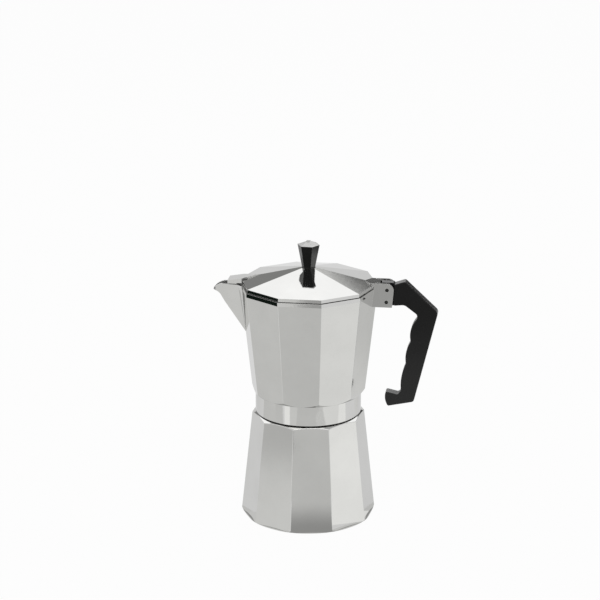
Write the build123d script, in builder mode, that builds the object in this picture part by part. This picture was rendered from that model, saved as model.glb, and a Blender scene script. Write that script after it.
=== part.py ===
from build123d import *
import math
import os

os.makedirs("parts", exist_ok=True)

# A stove-top moka coffee pot for nine cups, in millimetres.
# The origin is on the pot's axis at the floor, +X points to the handle and -X to the spout.

# Facets shared by the boiler, the collector and the lid
facet_count = 10
facet_edge = 0.8  # rounding where two facets meet

# Boiler
boiler_turn = 10.45  # degrees by which its corners stand past the collector's, where the thread stops
boiler_base_radius = 60.1  # to a corner, at the floor
boiler_shoulder_height = 93.8
shoulder_width = 8.9  # from the neck to a corner
shoulder_rise = 1.8
shoulder_run = 3.5
boiler_wall = 3.2
boiler_floor = 4.0
boiler_ceiling = 6.0  # metal under the shoulder
boiler_inner_chamfer = 6.0
foot_margin = 1.15  # from the middle of a facet to the flat underside
foot_round = 4.15  # turned edge that cuts the corners off at the foot
neck_bore = 36.6
neck_wall = 4.4
neck_height = 14.4

# Screw thread between boiler and collector
thread_pitch = 3.5
thread_depth = 1.2
thread_root = 1.5
thread_crest = 0.9
thread_start = 4.0  # first ridge above the shoulder
thread_clearance = 0.4
thread_sink = 0.5  # how far a ridge reaches into the metal that carries it

# Collector
collar_gap = 1.3  # between collar and shoulder
collar_wall = 4.3
collar_height = 17.6
collar_ledge = 0.7  # foot of the turned cone that trims the facets
collar_cone = 5.0
collector_step = 3.3  # from the collar to a corner
collector_rim_radius = 60.9  # to a corner, at the rim
collector_height = 97.3
collector_wall = 2.8
collector_floor = 2.0
rim_band = 3.5

# Coffee funnel
flange_overlap = 2.4  # of its flange on the boiler's rim
sheet = 0.8
funnel_clearance = 0.35
basket_depth = 28.0
basket_ledge = 2.0
basket_cone = 9.0
stem_radius = 6.0
stem_floor_gap = 5.0
plate_clearance = 0.3

# Gasket and filter plate
gasket_thickness = 4.0
gasket_clearance = 0.4
gasket_rim = 5.4  # rubber outside the filter plate
filter_ledge = 3.0  # rubber under the filter plate
filter_thickness = 0.8
filter_clearance = 0.3
filter_recess = 2.8  # hollow above the filter plate
perforation_radius = 0.8
perforation_step = 5.2
perforation_margin = 2.4

# Riser column in the collector
riser_height = 58.0
riser_base_radius = 10.0
riser_top_radius = 6.6
riser_bore = 3.6
riser_spigot_radius = 7.0
riser_flange_radius = 12.0
riser_flange = 2.0
outlet_width = 4.5
outlet_height = 7.0
outlet_roof = 3.0
outlet_drop = 0.6  # below the top of the bore

# Spout on the collector's -X corner, measured from the rim's corner
spout_root_drop = 45.3
spout_root_half = 0.8
spout_rim_drop = 1.0
spout_half_width = 8.5
spout_mouth_inset = 3.9  # where it starts to narrow, inwards from the corner
spout_nose_radius = 4.6
spout_keel_reach = 16.2
spout_keel_drop = 10.9
spout_under_bend = (19.6, -8.1)
spout_tip_reach = 23.5
spout_tip_drop = 7.1
spout_upper_bend = (19.9, -3.2)
spout_lip_reach = 14.6
spout_wall = 2.2
spout_lip = 1.2
channel_root_half = 0.4
spout_web_foot = 0.5  # slopes that ease its sides into the facets
spout_web_top = 4.0
spout_web_sink = 0.3

# Hinge bracket on the collector's +X corner
hinge_reach = 8.6  # pin beyond the rim's corner
hinge_drop = 0.4  # pin below the rim
bracket_width = 16.8
cheek = 2.3
side_gap = 0.3
hinge_arm = 1.9
bracket_crown = 5.8  # metal round the hinge pin
bracket_depth = 15.6  # bottom edge below the hinge pin
bracket_foot_setback = 1.3
pin_radius = 1.6
pin_recess = 1.5
pin_clearance = 0.05
handle_pin_drop = 10.9
handle_pin_setback = 0.5

# Lid
lid_setback = 1.25  # of its corner from the rim's corner
lid_gap = 0.4  # above the rim
lid_lip = 2.9
lid_rise = 13.6
lid_skin = 2.0
lid_wall = 2.2
lid_boss_depth = 4.0
lid_boss_margin = 1.8
lug_point = 10.6  # reach of the hinge lug over the lid, inwards from the lid's corner
lug_flare = 6.0  # length over which the lug reaches its full width
lug_overlap = 3.5  # how much further from the pin its wings end than the fork
arm_radius = 3.8
flap_half_width = 7.0
flap_overhang = 10.95
flap_tip_thickness = 2.4
flap_inner_reach = 15.6
flap_point = 14.0  # length over which it narrows to its inner end
flap_stand = 0.5  # of its inner end over the lid's ridge
flap_lip = 0.7
flap_lip_length = 8.6
notch_width = 2.2
notch_depth = 7.0

# Handle, outlined from the hinge pin as (outwards, upwards)
handle_thickness = 10.4
handle_edge = 1.0
handle_gap = 0.6  # between bracket and handle
tenon_gap = 1.2  # between tenon and rim
tenon_drop = 0.2  # tenon below the bracket's top
handle_foot = 14.8
handle_start_rise = 4.3
handle_throat = (15.1, -14.0)
grip_top = (26.8, -22.8)
grip_joints = ((25.9, -26.4), (21.0, -47.3), (17.1, -67.7), (13.0, -92.0))
grip_humps = ((20.9, -36.6), (17.4, -56.0), (13.4, -80.0))
hook_root = (11.2, -96.6)
handle_tip = (-0.1, -94.1)
handle_tip_bulge = (-0.9, -99.4)
handle_toe = (1.8, -107.7)
handle_heel = (24.5, -102.8)
handle_elbow = (44.4, -19.8)
handle_peak = (15.3, 7.4)
throat_round = 6.0
grip_round = 4.0
hump_round = 1.5  # between two finger humps
grip_end_round = 2.5  # at both ends of the row of humps
hook_round = 2.5
tip_round = 1.5
heel_round = 3.0
elbow_round = 4.0
peak_round = 2.0

# Knob and its fixing
knob_sides = 6
knob_turn = -4.0
knob_seat_margin = 0.6
knob_base_radius = 5.8
knob_rim_radius = 9.8
knob_height = 20.5
knob_cap_rise = 2.9
knob_cap_spigot = 4.0  # length of the cap's pin inside the knob
knob_cap_clearance = 0.05
knob_cap_end_gap = 0.5
knob_button_radius = 2.0
knob_button = 0.4
insert_wall = 1.0
insert_length = 11.0
screw_radius = 2.0
screw_thread_clearance = 0.05
screw_clearance = 0.2
screw_end_gap = 2.0
screw_head_overlap = 2.0
screw_head = 2.4
screw_slot_width = 0.9
screw_slot_depth = 1.2
washer_overlap = 1.2
washer_thickness = 0.8

# Safety valve, on a boiler facet away from the front
valve_facet = 3  # facets counted from the handle, counter-clockwise
valve_height = 68.0
valve_boss = 1.0
valve_boss_margin = 1.5
valve_washer = 1.0
valve_washer_margin = 1.0
valve_hex_flats = 14.0
valve_hex = 6.0
valve_shank_radius = 5.0
valve_shank_length = 7.0
valve_thread_clearance = 0.05
valve_shell = 1.4
valve_port_radius = 2.0
valve_seat = 2.8  # metal around the port, under the seal
seal_thickness = 1.0
plunger_clearance = 0.4
plunger_head = 1.2
plunger_stem_radius = 1.2
plunger_show = 1.6  # stem beyond the cap
stem_clearance = 0.06
cap_thickness = 1.2
cap_vent_radius = 0.45
cap_vents = 3
spring_clearance = 0.75
spring_wire = 0.6
spring_turns = 5
spring_end_gap = 0.1

# Radii and heights that follow
half_facet = math.pi / facet_count
flat_ratio = math.cos(half_facet)  # distance to a flat over distance to a corner
corner_slope = math.tan(half_facet)
neck_radius = neck_bore + neck_wall
boiler_shoulder_radius = neck_radius + shoulder_width
shoulder_top_radius = boiler_shoulder_radius - shoulder_run
shoulder_top = boiler_shoulder_height + shoulder_rise
neck_top = shoulder_top + neck_height
thread_bore = neck_radius + thread_depth + thread_clearance
thread_length = neck_height - thread_start - thread_pitch / 2 - thread_root
thread_turns = math.floor(4 * thread_length / thread_pitch) / 4
collar_radius = thread_bore + collar_wall
collector_base_radius = collar_radius + collector_step
collar_bottom = shoulder_top + collar_gap
collar_top = collar_bottom + collar_height
rim_top = collar_top + collector_height
flange_top = neck_top + sheet
seat = flange_top + gasket_thickness
floor_top = seat + filter_recess + collector_floor
hinge_x = collector_rim_radius + hinge_reach
hinge_z = rim_top - hinge_drop
lid_radius = collector_rim_radius - lid_setback
lid_bottom = rim_top + lid_gap
lid_edge = lid_bottom + lid_lip
knob_seat_radius = knob_base_radius + knob_seat_margin
knob_seat = lid_edge + lid_rise * (1 - knob_seat_radius / lid_radius)


def boiler_corner(height):
    """Distance from the axis to a boiler corner at a height."""
    slope = (boiler_base_radius - boiler_shoulder_radius) / boiler_shoulder_height
    return boiler_base_radius - slope * height


def boiler_inner(height):
    """Radius of the boiler's turned inside at a height."""
    return boiler_corner(height) * flat_ratio - boiler_wall


def collector_corner(height):
    """Distance from the axis to a collector corner at a height."""
    slope = (collector_rim_radius - collector_base_radius) / collector_height
    return collector_base_radius + slope * (height - collar_top)


def lid_slope_height(radius):
    """Height of the lid's ridge at a distance from the axis."""
    return lid_edge + lid_rise * (1 - radius / lid_radius)


def polygon_taper(large_radius, small_radius, length, sides=facet_count):
    """Lean of a flat, in degrees, between two corner radii a length apart."""
    return math.degrees(math.atan((large_radius - small_radius) * math.cos(math.pi / sides) / length))


def tapered_block(large_z, large_radius, small_z, small_radius, sides=facet_count, turn=0.0, rounding=0.0):
    """A many-sided block that narrows from one height to another, with plain or rounded corners."""
    length = small_z - large_z
    with BuildPart() as block:
        with BuildSketch(Plane.XY.offset(large_z)):
            RegularPolygon(large_radius, sides, rotation=turn)
        extrude(amount=length, taper=polygon_taper(large_radius, small_radius, abs(length), sides))
        if rounding > 0:
            fillet(block.edges() - block.faces().filter_by(Axis.Z).edges(), rounding)
    return block.part


def turned(*points):
    """A solid of revolution about the pot's axis, from (radius, height) corners."""
    with BuildPart() as shape:
        with BuildSketch(Plane.XZ):
            with BuildLine():
                Polyline(*points, close=True)
            make_face()
        revolve(axis=Axis.Z)
    return shape.part


def side_prism(half_width, *points):
    """An outline in the plane of handle and spout, with equal width on both sides."""
    with BuildPart() as prism:
        with BuildSketch(Plane.XZ):
            with BuildLine():
                Polyline(*points, close=True)
            make_face()
        extrude(amount=half_width, both=True)
    return prism.part


def cross_bar(radius, x, z, half_width, inner_half_width=0.0):
    """A round bar across the pot, or its two ends beyond an inner half width."""
    with BuildPart() as bar:
        with BuildSketch(Plane.XZ):
            with Locations((x, z)):
                Circle(radius)
        extrude(amount=half_width, both=True)
        if inner_half_width > 0:
            with BuildSketch(Plane.XZ):
                with Locations((x, z)):
                    Circle(radius)
            extrude(amount=inner_half_width, both=True, mode=Mode.SUBTRACT)
    return bar.part


def helix_path(plane, radius, pitch, turns, start):
    """A helix about a plane's normal, two tangent arcs to a quarter turn, and its first section plane."""
    rise = pitch / (2 * math.pi)

    def point(angle):
        local = Vector(radius * math.cos(angle), radius * math.sin(angle), start + rise * angle)
        return plane.from_local_coords(local)

    def tangent(angle):
        around = plane.y_dir * math.cos(angle) - plane.x_dir * math.sin(angle)
        return (around * radius + plane.z_dir * rise).normalized()

    with BuildLine() as line:
        for quarter in range(round(turns * 4)):
            first = quarter * math.pi / 2
            last = first + math.pi / 2
            chord = point(last) - point(first)
            lean = chord.dot(tangent(first) + tangent(last))
            spread = 2 * (1 - tangent(first).dot(tangent(last)))
            reach = (math.sqrt(lean**2 + spread * chord.dot(chord)) - lean) / spread
            bend = (tangent(first) - tangent(last)) * (reach / 2)
            middle = (point(first) + point(last)) * 0.5 + bend
            arc = TangentArc(point(first), middle, tangent=tangent(first))
            TangentArc(middle, point(last), tangent=arc % 1)
    return line.wires()[0], Plane(point(0), x_dir=plane.x_dir, z_dir=tangent(0))


def helix_gap(radius, pitch, turns, wire):
    """Least gap of a wound wire to itself, measured on points of its centre line."""
    steps = 48

    def point(step):
        angle = 2 * math.pi * step / steps
        return Vector(radius * math.cos(angle), radius * math.sin(angle), pitch * step / steps)

    least = math.inf
    for first in range(turns * steps + 1):
        for second in range(first + steps // 2, turns * steps + 1):
            least = min(least, (point(second) - point(first)).length)
    return least - wire


def thread_ridge(base_radius, inwards, start):
    """A helical ridge that stands on a cylinder, outwards or inwards."""
    side = -1 if inwards else 1
    path, section = helix_path(Plane.XY, base_radius, thread_pitch, thread_turns, start)
    with BuildPart() as ridge:
        with BuildSketch(section):
            with BuildLine():
                Polyline(
                    (-side * thread_sink, -thread_root / 2),
                    (-side * thread_sink, thread_root / 2),
                    (0, thread_root / 2),
                    (side * thread_depth, thread_crest / 2),
                    (side * thread_depth, -thread_crest / 2),
                    (0, -thread_root / 2),
                    close=True,
                )
            make_face()
        sweep(path=path)
    return ridge.part


def perforated_disc(z, radius, thickness):
    """A thin round plate with rings of small holes."""
    with BuildPart() as disc:
        with BuildSketch(Plane.XY.offset(z)):
            Circle(radius)
            Circle(perforation_radius, mode=Mode.SUBTRACT)
            for ring in range(1, math.floor((radius - perforation_margin) / perforation_step) + 1):
                with PolarLocations(ring * perforation_step, 6 * ring):
                    Circle(perforation_radius, mode=Mode.SUBTRACT)
        extrude(amount=thickness)
    return disc.part


# Boiler: ten tapered facets, a turned foot and shoulder, a threaded neck and a turned inside
valve_azimuth = math.radians(boiler_turn) + (2 * valve_facet - 1) * half_facet
boiler_lean = math.radians(polygon_taper(boiler_base_radius, boiler_shoulder_radius, boiler_shoulder_height))
valve_outwards = Vector(math.cos(valve_azimuth), math.sin(valve_azimuth), 0)
valve_axis = valve_outwards * math.cos(boiler_lean) + Vector(0, 0, math.sin(boiler_lean))
valve_point = valve_outwards * (boiler_corner(valve_height) * flat_ratio) + Vector(0, 0, valve_height)
valve_plane = Plane(
    valve_point + valve_axis * valve_boss,
    x_dir=Vector(0, 0, 1).cross(valve_outwards),
    z_dir=valve_axis,
)
valve_washer_radius = valve_hex_flats / 2 + valve_washer_margin
valve_hole = valve_shank_radius + valve_thread_clearance
inner_top = shoulder_top - boiler_ceiling
inner_high = inner_top - (boiler_inner(inner_top) - neck_bore)
inner_low = boiler_floor + boiler_inner_chamfer
foot_radius = boiler_base_radius * flat_ratio - foot_margin

boiler_facets = tapered_block(
    0,
    boiler_base_radius,
    shoulder_top,
    boiler_corner(shoulder_top),
    turn=boiler_turn,
    rounding=facet_edge,
)
boiler_inside = turned(
    (0, boiler_floor),
    (boiler_inner(inner_low) - boiler_inner_chamfer, boiler_floor),
    (boiler_inner(inner_low), inner_low),
    (boiler_inner(inner_high), inner_high),
    (neck_bore, inner_top),
    (neck_bore, neck_top),
    (0, neck_top),
)
neck_ridge = thread_ridge(neck_radius, False, shoulder_top + thread_start)

with BuildPart() as boiler_trim:
    with BuildSketch(Plane.XZ):
        with BuildLine():
            TangentArc((foot_radius, 0), (foot_radius + foot_round, foot_round), tangent=(1, 0))
            Polyline(
                (foot_radius + foot_round, foot_round),
                (foot_radius + foot_round, boiler_shoulder_height / 2),
                (boiler_shoulder_radius, boiler_shoulder_height),
                (shoulder_top_radius, shoulder_top),
                (0, shoulder_top),
                (0, 0),
                (foot_radius, 0),
            )
        make_face()
    revolve(axis=Axis.Z)

with BuildPart() as boiler:
    add(boiler_facets)
    add(boiler_trim.part, mode=Mode.INTERSECT)
    with BuildSketch(Plane.XY.offset(inner_top)):
        Circle(neck_radius)
    extrude(amount=neck_top - inner_top)
    add(neck_ridge)
    with BuildSketch(valve_plane.offset(-valve_boss - boiler_wall)):
        Circle(valve_washer_radius + valve_boss_margin)
    extrude(amount=valve_boss + boiler_wall)
    add(boiler_inside, mode=Mode.SUBTRACT)
    with BuildSketch(valve_plane):
        Circle(valve_hole)
    extrude(amount=-2 * valve_shank_length, mode=Mode.SUBTRACT)
boiler.part.label = "boiler"
export_step(boiler.part, "parts/boiler.step")

# Safety valve: a screwed body on a washer, a sprung plunger with a soft seal, and a pressed-in cap
shank_end = valve_washer - valve_shank_length
seat_level = shank_end + valve_seat
head_bottom = seat_level + seal_thickness
head_top = head_bottom + plunger_head
hex_top = valve_washer + valve_hex
cap_bottom = hex_top - cap_thickness
chamber_radius = valve_shank_radius - valve_shell
plunger_radius = chamber_radius - plunger_clearance

with BuildPart() as safety_valve_washer:
    with BuildSketch(valve_plane):
        Circle(valve_washer_radius)
        Circle(valve_hole, mode=Mode.SUBTRACT)
    extrude(amount=valve_washer)
safety_valve_washer.part.label = "safety_valve_washer"
export_step(safety_valve_washer.part, "parts/safety_valve_washer.step")

with BuildPart() as safety_valve_body:
    with BuildSketch(valve_plane.offset(valve_washer)):
        RegularPolygon(valve_hex_flats / 2, 6, major_radius=False)
    extrude(amount=valve_hex)
    with BuildSketch(valve_plane.offset(shank_end)):
        Circle(valve_shank_radius)
    extrude(amount=valve_shank_length)
    with BuildSketch(valve_plane.offset(seat_level)):
        Circle(chamber_radius)
    extrude(amount=hex_top - seat_level, mode=Mode.SUBTRACT)
    with BuildSketch(valve_plane.offset(shank_end)):
        Circle(valve_port_radius)
    extrude(amount=valve_seat, mode=Mode.SUBTRACT)
safety_valve_body.part.label = "safety_valve_body"
export_step(safety_valve_body.part, "parts/safety_valve_body.step")

with BuildPart() as safety_valve_seal:
    with BuildSketch(valve_plane.offset(seat_level)):
        Circle(plunger_radius)
    extrude(amount=seal_thickness)
safety_valve_seal.part.label = "safety_valve_seal"
export_step(safety_valve_seal.part, "parts/safety_valve_seal.step")

with BuildPart() as safety_valve_plunger:
    with BuildSketch(valve_plane.offset(head_bottom)):
        Circle(plunger_radius)
    extrude(amount=plunger_head)
    with BuildSketch(valve_plane.offset(head_bottom)):
        Circle(plunger_stem_radius)
    extrude(amount=hex_top + plunger_show - head_bottom)
safety_valve_plunger.part.label = "safety_valve_plunger"
export_step(safety_valve_plunger.part, "parts/safety_valve_plunger.step")

with BuildPart() as safety_valve_cap:
    with BuildSketch(valve_plane.offset(cap_bottom)):
        Circle(chamber_radius)
        Circle(plunger_stem_radius + stem_clearance, mode=Mode.SUBTRACT)
        with PolarLocations((chamber_radius + plunger_stem_radius) / 2, cap_vents):
            Circle(cap_vent_radius, mode=Mode.SUBTRACT)
    extrude(amount=cap_thickness)
safety_valve_cap.part.label = "safety_valve_cap"
export_step(safety_valve_cap.part, "parts/safety_valve_cap.step")

spring_radius = plunger_stem_radius + spring_clearance + spring_wire / 2
spring_start = head_top + spring_end_gap + spring_wire / 2
spring_length = cap_bottom - spring_end_gap - spring_wire / 2 - spring_start
spring_pitch = spring_length / spring_turns
spring_path, spring_section = helix_path(
    valve_plane, spring_radius, spring_pitch, spring_turns, spring_start
)
with BuildPart() as safety_valve_spring:
    with BuildSketch(spring_section):
        Circle(spring_wire / 2)
    sweep(path=spring_path)
safety_valve_spring.part.label = "safety_valve_spring"
export_step(safety_valve_spring.part, "parts/safety_valve_spring.step")
print("valve spring's least gap to itself:", helix_gap(spring_radius, spring_pitch, spring_turns, spring_wire))

# Funnel: a flanged sheet basket with a ledge for its plate, a cone and a long stem
basket_radius = neck_bore - funnel_clearance
basket_inner = basket_radius - sheet
basket_floor = flange_top - basket_depth
stem_top = basket_floor - basket_cone
stem_bottom = boiler_floor + stem_floor_gap

with BuildPart() as funnel:
    with BuildSketch(Plane.XZ):
        with BuildLine():
            Polyline(
                (neck_bore + flange_overlap, neck_top),
                (neck_bore + flange_overlap, flange_top),
                (basket_inner, flange_top),
                (basket_inner, basket_floor),
                (basket_inner - basket_ledge, basket_floor),
                (stem_radius - sheet, stem_top),
                (stem_radius - sheet, stem_bottom),
                (stem_radius, stem_bottom),
                (stem_radius, stem_top - sheet),
                (basket_radius, basket_floor - sheet),
                (basket_radius, neck_top),
                close=True,
            )
        make_face()
    revolve(axis=Axis.Z)
funnel.part.label = "funnel"
export_step(funnel.part, "parts/funnel.step")

with BuildPart() as funnel_plate:
    add(perforated_disc(basket_floor, basket_inner - plate_clearance, sheet))
funnel_plate.part.label = "funnel_plate"
export_step(funnel_plate.part, "parts/funnel_plate.step")

# Gasket and filter plate, under the collector's floor
gasket_radius = thread_bore - gasket_clearance
rebate_radius = gasket_radius - gasket_rim
gasket_inner = rebate_radius - filter_ledge
rebate_bottom = seat - filter_thickness

with BuildPart() as gasket:
    with BuildSketch(Plane.XZ):
        with BuildLine():
            Polyline(
                (gasket_inner, flange_top),
                (gasket_radius, flange_top),
                (gasket_radius, seat),
                (rebate_radius, seat),
                (rebate_radius, rebate_bottom),
                (gasket_inner, rebate_bottom),
                close=True,
            )
        make_face()
    revolve(axis=Axis.Z)
gasket.part.label = "gasket"
export_step(gasket.part, "parts/gasket.step")

with BuildPart() as filter_plate:
    add(perforated_disc(rebate_bottom, rebate_radius - filter_clearance, filter_thickness))
filter_plate.part.label = "filter_plate"
export_step(filter_plate.part, "parts/filter_plate.step")

# Collector: a threaded collar, ten facets that widen to the rim, a spout and a hinge bracket
rim_band_bottom = rim_top - rim_band
cone_foot = collar_radius + collar_ledge
collector_facets = tapered_block(
    rim_band_bottom,
    collector_corner(rim_band_bottom),
    collar_top,
    collector_base_radius,
    rounding=facet_edge,
)
collector_band = tapered_block(
    rim_band_bottom, collector_rim_radius, rim_top, collector_rim_radius, rounding=facet_edge
)
collector_trim = turned(
    (0, collar_top),
    (cone_foot, collar_top),
    (cone_foot + collar_cone, collar_top + collar_cone),
    (collector_rim_radius, collar_top + collar_cone),
    (collector_rim_radius, rim_band_bottom),
    (0, rim_band_bottom),
)
wall_to_corner = collector_wall / flat_ratio
collector_inside = tapered_block(
    rim_top,
    collector_corner(rim_top) - wall_to_corner,
    floor_top,
    collector_corner(floor_top) - wall_to_corner,
)
collector_recess = turned(
    (0, seat), (gasket_inner, seat), (riser_spigot_radius, seat + filter_recess), (0, seat + filter_recess)
)
collector_ridge = thread_ridge(thread_bore, True, shoulder_top + thread_start + thread_pitch / 2)

spout_root = rim_top - spout_root_drop
spout_rim = rim_top - spout_rim_drop
spout_inside = -collector_base_radius
spout_foot = (-collector_corner(spout_root), spout_root)
spout_mouth = -(collector_rim_radius - spout_mouth_inset)
spout_tip = (-(collector_rim_radius + spout_tip_reach), rim_top - spout_tip_drop)
spout_keel = (-(collector_rim_radius + spout_keel_reach), rim_top - spout_keel_drop)
spout_lip_start = (-(collector_rim_radius + spout_lip_reach), spout_rim)
spout_nose = spout_tip[0] + spout_nose_radius
channel_end = spout_tip[0] - spout_wall
channel_half = spout_half_width - spout_wall
channel_nose_half = spout_nose_radius - spout_wall
spout_narrowing = (spout_half_width - spout_nose_radius) / (spout_mouth - spout_nose)
keel_angle = math.atan2(spout_keel[1] - spout_foot[1], spout_foot[0] - spout_keel[0])
channel_lift = spout_wall / math.cos(keel_angle)
channel_root = spout_root + channel_lift


def from_rim_corner(offset):
    """A point of the spout's outline, from its reach beyond the rim's corner and its height."""
    return (-(collector_rim_radius + offset[0]), rim_top + offset[1])


def vee(bottom, bottom_half, top_half):
    """A V-shaped block along the spout, up to the rim."""
    with BuildPart() as block:
        with BuildSketch(Plane.YZ.offset(channel_end)):
            with BuildLine():
                Polyline(
                    (-bottom_half, bottom),
                    (bottom_half, bottom),
                    (top_half, rim_top),
                    (-top_half, rim_top),
                    close=True,
                )
            make_face()
        extrude(amount=spout_inside - channel_end)
    return block.part


spout_vee = vee(spout_root, spout_root_half, spout_half_width)
channel_vee = vee(channel_root, channel_root_half, channel_half)

with BuildPart() as spout:
    with BuildSketch(Plane.XZ):
        with BuildLine():
            Polyline((spout_inside, spout_rim), (spout_inside, spout_root), spout_foot, spout_keel)
            ThreePointArc(spout_keel, from_rim_corner(spout_under_bend), spout_tip)
            ThreePointArc(spout_tip, from_rim_corner(spout_upper_bend), spout_lip_start)
            Line(spout_lip_start, (spout_inside, spout_rim))
        make_face()
    extrude(amount=spout_half_width, both=True)
    with BuildSketch(Plane.XY.offset(spout_root)):
        with BuildLine():
            Polyline(
                (spout_nose, -spout_nose_radius),
                (spout_mouth, -spout_half_width),
                (spout_inside, -spout_half_width),
                (spout_inside, spout_half_width),
                (spout_mouth, spout_half_width),
                (spout_nose, spout_nose_radius),
            )
            ThreePointArc(
                (spout_nose, spout_nose_radius), (spout_tip[0], 0), (spout_nose, -spout_nose_radius)
            )
        make_face()
    extrude(amount=spout_root_drop, mode=Mode.INTERSECT)
    add(spout_vee, mode=Mode.INTERSECT)


def spout_web(side):
    """A narrow slope that eases one side of the spout into the facet beside it."""
    with BuildPart() as web:
        for height, width in ((spout_root, spout_web_foot), (spout_rim, spout_web_top)):
            share = (height - spout_root) / spout_root_drop
            half = spout_root_half + (spout_half_width - spout_root_half) * share
            meet = half * corner_slope - collector_corner(height)
            on_facet = (meet + width * math.sin(half_facet), half + width * flat_ratio)
            with BuildSketch(Plane.XY.offset(height)):
                Polygon(
                    (meet - width, side * (half - spout_web_sink - width * spout_narrowing)),
                    (on_facet[0] + spout_web_sink, side * on_facet[1]),
                    (meet + spout_web_sink + spout_wall, side * half),
                    align=None,
                )
        loft()
    return web.part


with BuildPart() as channel:
    with BuildSketch(Plane.XZ):
        with BuildLine():
            Polyline(
                (spout_inside, rim_top),
                (spout_inside, channel_root),
                (spout_foot[0], channel_root),
                (spout_keel[0], spout_tip[1]),
                (channel_end, spout_tip[1] + spout_lip),
                (channel_end, rim_top),
                close=True,
            )
        make_face()
    extrude(amount=spout_half_width, both=True)
    with BuildSketch(Plane.XY.offset(spout_root)):
        with BuildLine():
            Polyline(
                (spout_inside, channel_half),
                (spout_mouth, channel_half),
                (spout_nose, channel_nose_half),
                (channel_end, channel_nose_half),
                (channel_end, -channel_nose_half),
                (spout_nose, -channel_nose_half),
                (spout_mouth, -channel_half),
                (spout_inside, -channel_half),
                close=True,
            )
        make_face()
    extrude(amount=spout_root_drop, mode=Mode.INTERSECT)
    add(channel_vee, mode=Mode.INTERSECT)

bracket_half = bracket_width / 2
fork_half = bracket_half - cheek - side_gap
tenon_half = fork_half - hinge_arm - side_gap
tenon_radius = hinge_reach - tenon_gap
lug_radius = hinge_reach + lug_overlap
cheek_radius = lug_radius - side_gap
cheek_foot = hinge_z - bracket_depth
cheek_top = hinge_z + bracket_crown
cheek_inside = collector_corner(cheek_foot) - bracket_half * corner_slope - collector_wall
cheek_top_left = hinge_x - math.sqrt(cheek_radius**2 - bracket_crown**2)
cheek_rim_left = hinge_x - math.sqrt(cheek_radius**2 - hinge_drop**2)
handle_pin_x = hinge_x - handle_pin_setback
handle_pin_z = hinge_z - handle_pin_drop
pin_hole = pin_radius + pin_clearance
hinge_hole = cross_bar(pin_hole, hinge_x, hinge_z, bracket_half)
handle_hole = cross_bar(pin_hole, handle_pin_x, handle_pin_z, bracket_half)

with BuildPart() as cheeks:
    with BuildSketch(Plane.XZ):
        with BuildLine():
            Polyline(
                (cheek_rim_left, rim_top),
                (cheek_inside, rim_top),
                (cheek_inside, cheek_foot),
                (hinge_x + bracket_crown - bracket_foot_setback, cheek_foot),
                (hinge_x + bracket_crown, hinge_z),
            )
            RadiusArc((hinge_x + bracket_crown, hinge_z), (hinge_x, cheek_top), -bracket_crown)
            Line((hinge_x, cheek_top), (cheek_top_left, cheek_top))
            RadiusArc((cheek_top_left, cheek_top), (cheek_rim_left, rim_top), -cheek_radius)
        make_face()
    extrude(amount=bracket_half, both=True)
    with BuildSketch(Plane.XZ):
        with Locations((hinge_x, hinge_z)):
            Rectangle(3 * bracket_width, 3 * bracket_width)
    extrude(amount=bracket_half - cheek, both=True, mode=Mode.SUBTRACT)

with BuildPart() as collector:
    add(collector_facets)
    add(collector_trim, mode=Mode.INTERSECT)
    add(collector_band)
    with BuildSketch(Plane.XY.offset(collar_bottom)):
        Circle(collar_radius)
    extrude(amount=collar_height)
    add(spout.part)
    for side in (-1, 1):
        add(spout_web(side))
    add(cheeks.part)
    add(collector_inside, mode=Mode.SUBTRACT)
    add(channel.part, mode=Mode.SUBTRACT)
    with BuildSketch(Plane.XY.offset(collar_bottom)):
        Circle(thread_bore)
    extrude(amount=seat - collar_bottom, mode=Mode.SUBTRACT)
    add(collector_recess, mode=Mode.SUBTRACT)
    with BuildSketch(Plane.XY.offset(seat)):
        Circle(riser_spigot_radius)
    extrude(amount=floor_top - seat, mode=Mode.SUBTRACT)
    add(hinge_hole, mode=Mode.SUBTRACT)
    add(handle_hole, mode=Mode.SUBTRACT)
    add(collector_ridge)
collector.part.label = "collector"
export_step(collector.part, "parts/collector.step")

# Riser column: a tapered tube pressed into the collector's floor, closed on top with two side outlets
riser_foot = floor_top + riser_flange
riser_top = riser_foot + riser_height
bore_top = riser_top - outlet_roof

with BuildPart() as riser_column:
    with BuildSketch(Plane.XZ):
        with BuildLine():
            Polyline(
                (riser_bore, seat + filter_recess),
                (riser_spigot_radius, seat + filter_recess),
                (riser_spigot_radius, floor_top),
                (riser_flange_radius, floor_top),
                (riser_flange_radius, riser_foot),
                (riser_base_radius, riser_foot),
                (riser_top_radius, riser_top),
                (0, riser_top),
                (0, bore_top),
                (riser_bore, bore_top),
                close=True,
            )
        make_face()
    revolve(axis=Axis.Z)
    with BuildSketch(Plane.XZ):
        with Locations((0, bore_top - outlet_drop - outlet_height / 2)):
            SlotOverall(outlet_height, outlet_width, rotation=90)
    extrude(amount=riser_base_radius, both=True, mode=Mode.SUBTRACT)
riser_column.part.label = "riser_column"
export_step(riser_column.part, "parts/riser_column.step")

# Lid: a ten-sided cap with a hinge lug and fork on +X and a flap over the spout on -X
skin_drop = lid_skin / math.cos(math.atan(lid_rise / (lid_radius * flat_ratio)))
lid_inner_radius = lid_radius - lid_wall / flat_ratio
lid_inner_edge = lid_slope_height(lid_inner_radius) - skin_drop
washer_radius = screw_radius + screw_head_overlap + washer_overlap
boss_radius = washer_radius + lid_boss_margin
boss_bottom = knob_seat - lid_boss_depth
lid_inside_top = lid_slope_height(boss_radius) - skin_drop
lug_tip = lid_radius - lug_point
flap_end = -(lid_radius + flap_overhang)
flap_inner = -(lid_radius - flap_inner_reach)

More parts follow.
